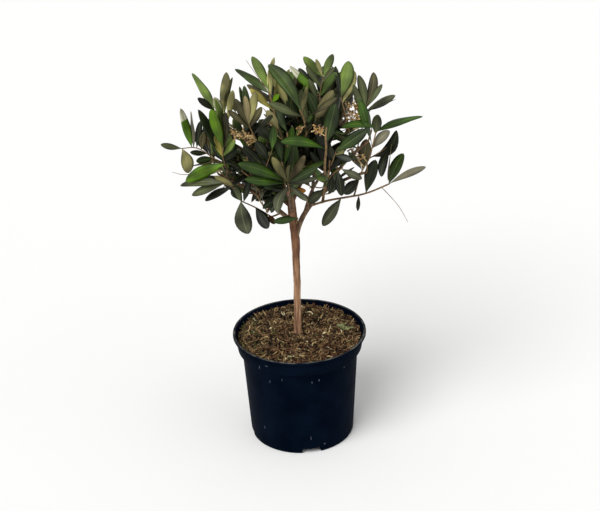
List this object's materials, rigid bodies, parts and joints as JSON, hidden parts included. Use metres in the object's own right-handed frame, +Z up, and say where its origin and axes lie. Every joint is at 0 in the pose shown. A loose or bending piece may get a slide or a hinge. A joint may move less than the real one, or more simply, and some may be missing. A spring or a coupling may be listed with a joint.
{
  "type": "potted olive tree",
  "caption": "Young standard olive tree with a bare stem and a round leafy crown, in a round plastic nursery pot filled with soil under bark shavings.",
  "frame": {"origin": "middle of the pot's flat underside, on the surface that it stands on", "axes": "+Z up along the stem, -Y towards the front that the picture shows, +X to the right seen from the front"},
  "size_m": [0.3494, 0.2703, 0.5792],
  "materials": {
    "pot": "satin moulded",
    "soil": "rough bark shavings",
    "bark": "rough reddish brown bark",
    "young_bark": "smoother grey brown bark",
    "leaves": "leathery, satin above and grey green below"
  },
  "bodies": {
    "root": {"pot": "pot", "soil": "soil", "trunk": "bark", "bough_leader": "young_bark", "foliage_leader": "leaves", "bough_low_right": "young_bark", "foliage_low_right": "leaves", "bough_low_left": "young_bark", "foliage_low_left": "leaves", "bough_left": "young_bark", "foliage_left": "leaves", "bough_far_left": "young_bark", "foliage_far_left": "leaves", "bough_front_left": "young_bark", "foliage_front_left": "leaves", "bough_upper_left": "young_bark", "foliage_upper_left": "leaves", "bough_top_back": "young_bark", "foliage_top_back": "leaves", "bough_top_right": "young_bark", "foliage_top_right": "leaves", "bough_upper_right": "young_bark", "foliage_upper_right": "leaves", "bough_right": "young_bark", "foliage_right": "leaves", "bough_front": "young_bark", "foliage_front": "leaves", "bough_front_low": "young_bark", "foliage_front_low": "leaves", "bough_front_right": "young_bark", "foliage_front_right": "leaves", "bough_front_top": "young_bark", "foliage_front_top": "leaves", "bough_lower_left": "young_bark", "foliage_lower_left": "leaves", "bough_inner_right": "young_bark", "foliage_inner_right": "leaves", "bough_low_middle": "young_bark", "foliage_low_middle": "leaves", "bough_back_left": "young_bark", "foliage_back_left": "leaves", "bough_back": "young_bark", "foliage_back": "leaves", "bough_back_right": "young_bark", "foliage_back_right": "leaves", "bough_low_back_left": "young_bark", "foliage_low_back_left": "leaves", "bough_low_back": "young_bark", "foliage_low_back": "leaves"}
  },
  "joints": []
}
